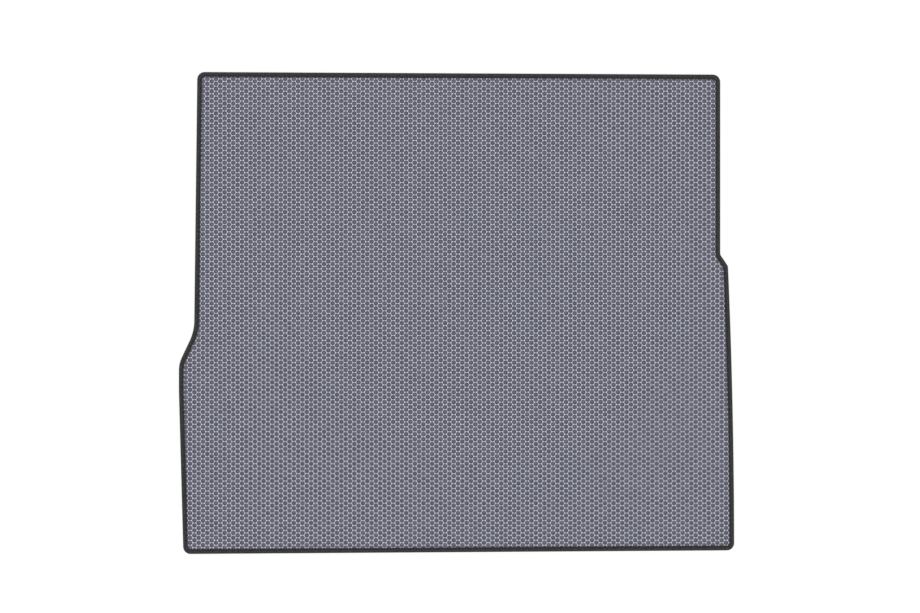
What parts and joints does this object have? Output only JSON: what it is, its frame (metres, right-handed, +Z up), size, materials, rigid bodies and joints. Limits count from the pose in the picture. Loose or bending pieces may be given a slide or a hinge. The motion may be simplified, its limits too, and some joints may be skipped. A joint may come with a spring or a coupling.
{
  "type": "car boot liner",
  "caption": "Flat liner for a car's boot floor: a foam sheet with hexagonal cells in its top, edged with a folded, sewn tape and stepped at both sides to clear the trim.",
  "frame": {"origin": "on the boot floor, at the centre of the underside's bounding box", "axes": "+X to the liner's right and along its width, +Y towards its far edge, +Z up out of the cells"},
  "size_m": [1.055, 0.9158, 0.01],
  "materials": {
    "foam": "matt bluish grey EVA foam, moulded",
    "tape": "black woven polyester tape, matt",
    "thread": "black polyester sewing thread"
  },
  "bodies": {
    "root": {"foam_sheet": "foam", "binding_tape": "tape", "needle_thread": "thread", "bobbin_thread": "thread"}
  },
  "joints": []
}
